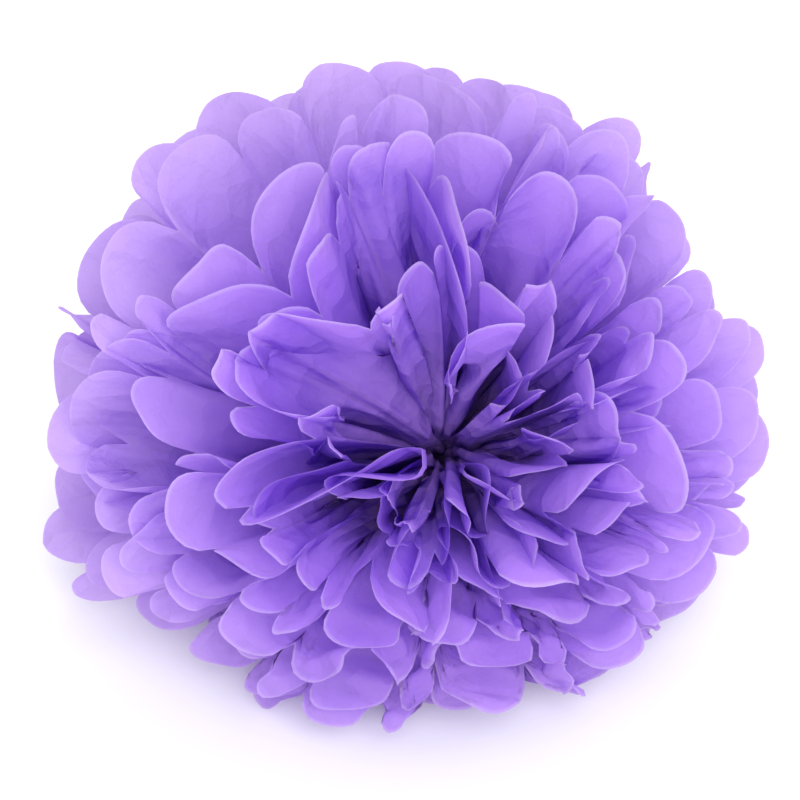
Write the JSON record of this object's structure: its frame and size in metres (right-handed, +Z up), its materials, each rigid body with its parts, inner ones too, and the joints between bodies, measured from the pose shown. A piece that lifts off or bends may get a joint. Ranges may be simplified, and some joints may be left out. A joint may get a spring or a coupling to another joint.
{
  "type": "tissue paper pom pom",
  "caption": "Ball of fluffed tissue paper petals: stacked sheets folded like an accordion, tied round the middle with wire, trimmed round and fanned out, lying on its side.",
  "frame": {"origin": "centre of the ball's bounding box at its flattened bottom, on the ground", "axes": "+Z up; the heart of the flower leans 40 degrees from +Z towards -Y; the wire's line round the waist runs from the lower -X side to the upper +X side"},
  "size_m": [0.2436, 0.2448, 0.2017],
  "materials": {
    "tissue_paper": "matte thin lilac tissue paper that lets light through",
    "wire": "plain thin soft steel wire"
  },
  "bodies": {
    "root": {"tissue_sheet_01": "tissue_paper", "tissue_sheet_02": "tissue_paper", "tissue_sheet_03": "tissue_paper", "tissue_sheet_04": "tissue_paper", "tissue_sheet_05": "tissue_paper", "tissue_sheet_06": "tissue_paper", "tissue_sheet_07": "tissue_paper", "tissue_sheet_08": "tissue_paper", "tissue_sheet_09": "tissue_paper", "tissue_sheet_10": "tissue_paper", "tissue_sheet_11": "tissue_paper", "tissue_sheet_12": "tissue_paper", "tie_wire": "wire"}
  },
  "joints": []
}
